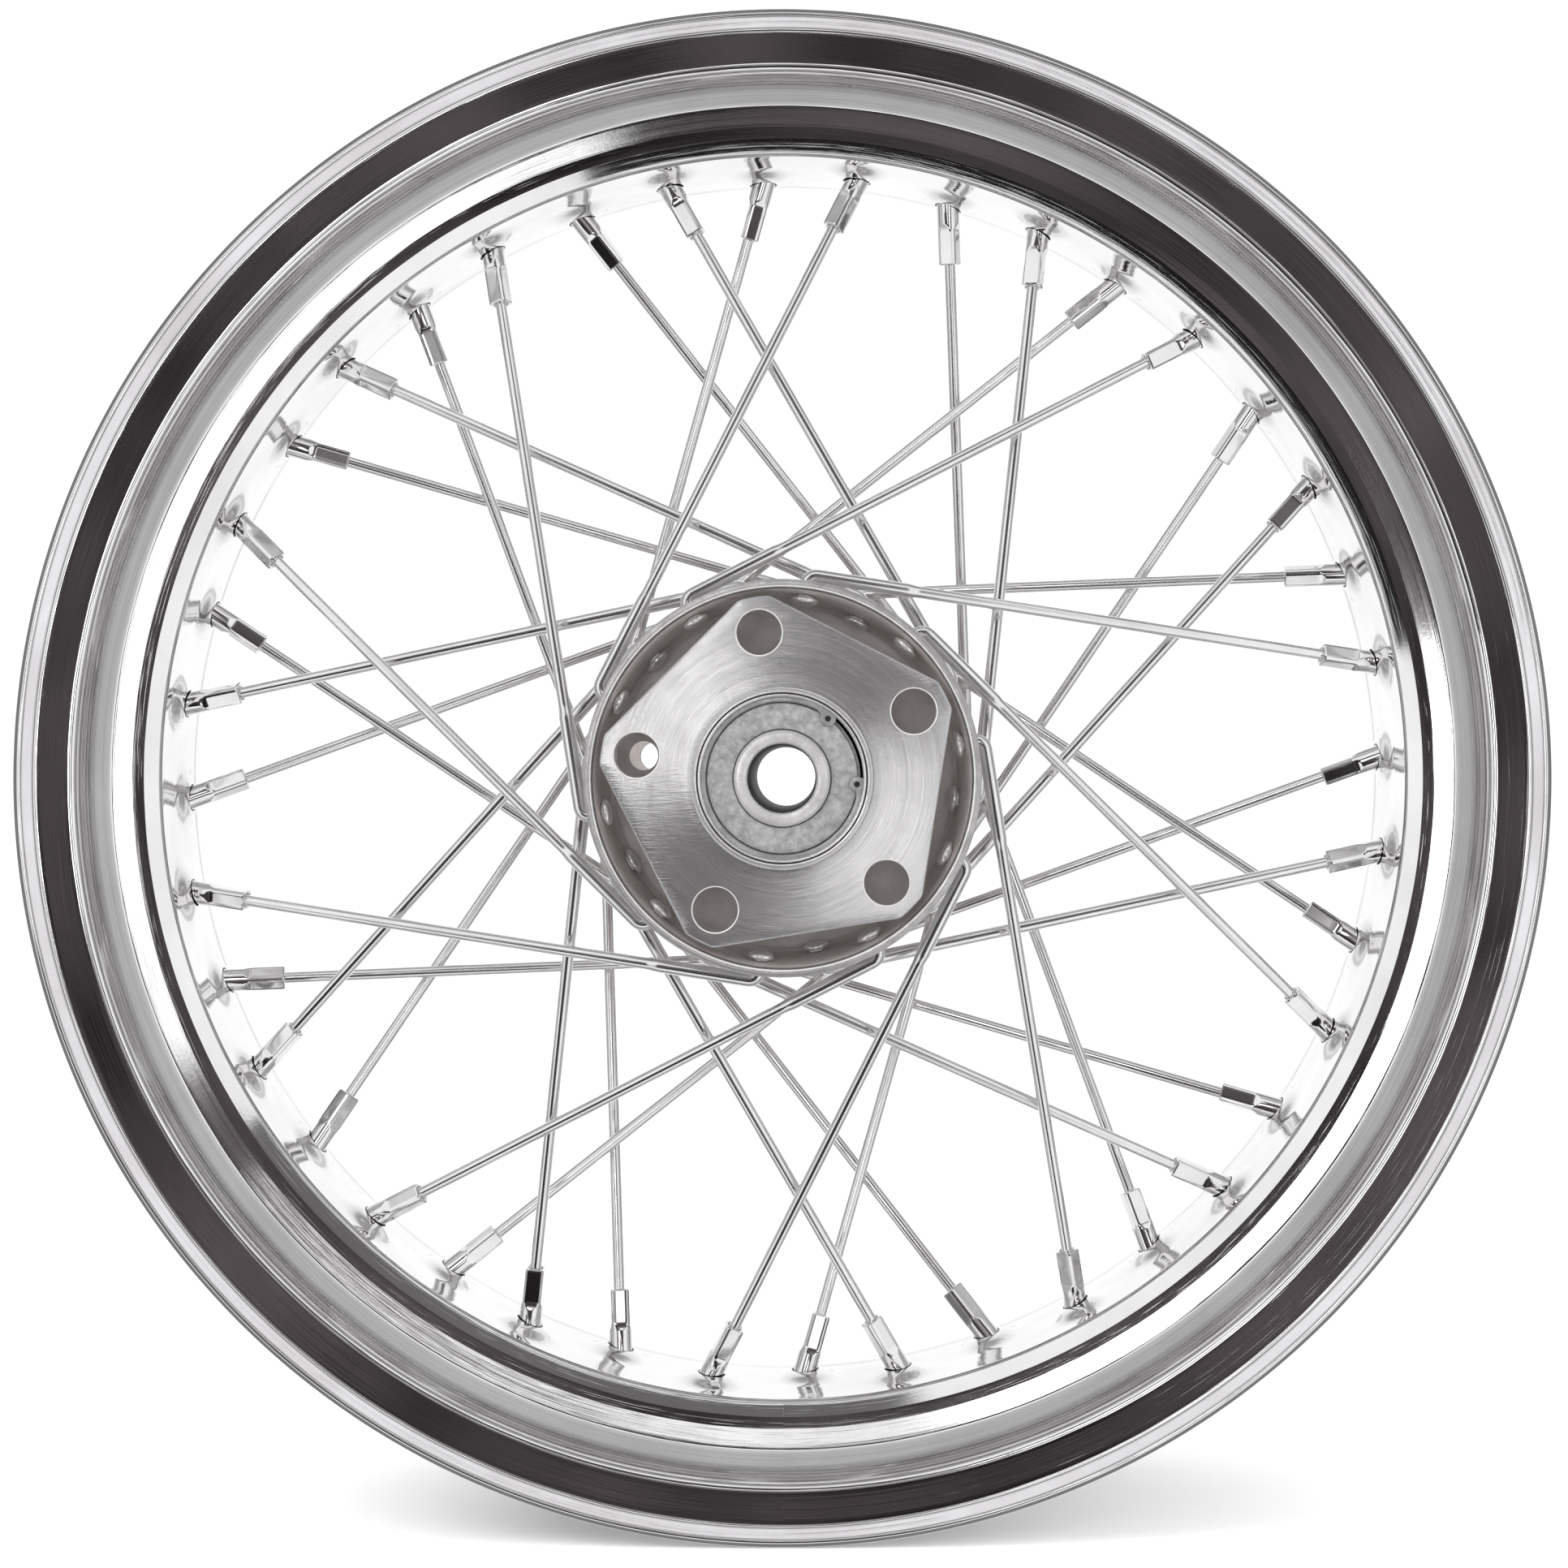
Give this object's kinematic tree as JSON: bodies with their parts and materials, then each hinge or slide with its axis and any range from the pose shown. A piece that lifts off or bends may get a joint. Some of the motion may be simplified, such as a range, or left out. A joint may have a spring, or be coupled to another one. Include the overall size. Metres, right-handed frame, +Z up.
{
  "type": "spoked motorcycle wheel",
  "caption": "Wire-spoked motorcycle wheel: rolled chrome rim laced by crossed tangential spokes to a flanged star hub that turns on taper bearings about a hollow axle stack.",
  "frame": {"origin": "centre of the wheel: the axle's axis crosses the rim's middle plane there", "axes": "+Y along the axle, from the front disc side seen in the picture towards the far side; +Z up; +X to the right as seen from the front; the wheel stands in the XZ plane"},
  "size_m": [0.4328, 0.114, 0.4328],
  "materials": {
    "rim_chrome": "polished chrome plate with fine rubbed lines round the wheel",
    "spoke_chrome": "polished chrome plate",
    "hub_steel": "dark brownish grey steel, machined bright at the lip",
    "flange_steel": "turned steel, concentric tool marks",
    "seal_zinc": "dull zinc plate, mottled",
    "sleeve_steel": "dull zinc plate",
    "bearing_steel": "ground bearing steel",
    "spring_steel": "oil-blackened spring steel"
  },
  "bodies": {
    "axle_stack": {"inner_spacer_sleeve": "sleeve_steel", "bearing_cone_front": "bearing_steel", "axle_collar_front": "flange_steel", "bearing_cone_rear": "bearing_steel", "axle_collar_rear": "flange_steel"},
    "wheel": {"rim": "rim_chrome", "hub_barrel": "hub_steel", "spoke_bell_front": "hub_steel", "disc_flange_front": "flange_steel", "snap_ring_front": "spring_steel", "grease_seal_front": "seal_zinc", "bearing_cup_front": "bearing_steel", "spoke_bell_rear": "hub_steel", "disc_flange_rear": "flange_steel", "snap_ring_rear": "spring_steel", "grease_seal_rear": "seal_zinc", "bearing_cup_rear": "bearing_steel", "spoke_01": "spoke_chrome", "spoke_02": "spoke_chrome", "spoke_03": "spoke_chrome", "spoke_04": "spoke_chrome", "spoke_05": "spoke_chrome", "spoke_06": "spoke_chrome", "spoke_07": "spoke_chrome", "spoke_08": "spoke_chrome", "spoke_09": "spoke_chrome", "spoke_10": "spoke_chrome", "spoke_11": "spoke_chrome", "spoke_12": "spoke_chrome", "spoke_13": "spoke_chrome", "spoke_14": "spoke_chrome", "spoke_15": "spoke_chrome", "spoke_16": "spoke_chrome", "spoke_17": "spoke_chrome", "spoke_18": "spoke_chrome", "spoke_19": "spoke_chrome", "spoke_20": "spoke_chrome", "spoke_21": "spoke_chrome", "spoke_22": "spoke_chrome", "spoke_23": "spoke_chrome", "spoke_24": "spoke_chrome", "spoke_25": "spoke_chrome", "spoke_26": "spoke_chrome", "spoke_27": "spoke_chrome", "spoke_28": "spoke_chrome", "spoke_29": "spoke_chrome", "spoke_30": "spoke_chrome", "spoke_31": "spoke_chrome", "spoke_32": "spoke_chrome", "spoke_33": "spoke_chrome", "spoke_34": "spoke_chrome", "spoke_35": "spoke_chrome", "spoke_36": "spoke_chrome", "spoke_37": "spoke_chrome", "spoke_38": "spoke_chrome", "spoke_39": "spoke_chrome", "spoke_40": "spoke_chrome"},
    "cage_front": {"roller_cage_front": "bearing_steel"},
    "cage_rear": {"roller_cage_rear": "bearing_steel"}
  },
  "joints": [
    {"name": "wheel_spin", "type": "hinge", "parent": "axle_stack", "child": "wheel", "pos_m": [0, 0, 0], "axis": [0, 1, 0], "continuous": true},
    {"name": "cage_front_spin", "type": "hinge", "parent": "axle_stack", "child": "cage_front", "pos_m": [0, 0, 0], "axis": [0, 1, 0], "continuous": true},
    {"name": "cage_rear_spin", "type": "hinge", "parent": "axle_stack", "child": "cage_rear", "pos_m": [0, 0, 0], "axis": [0, 1, 0], "continuous": true}
  ],
  "couplings": [
    {"joint": "cage_front_spin", "follows": "wheel_spin", "ratio": 0.595},
    {"joint": "cage_rear_spin", "follows": "wheel_spin", "ratio": 0.595}
  ]
}
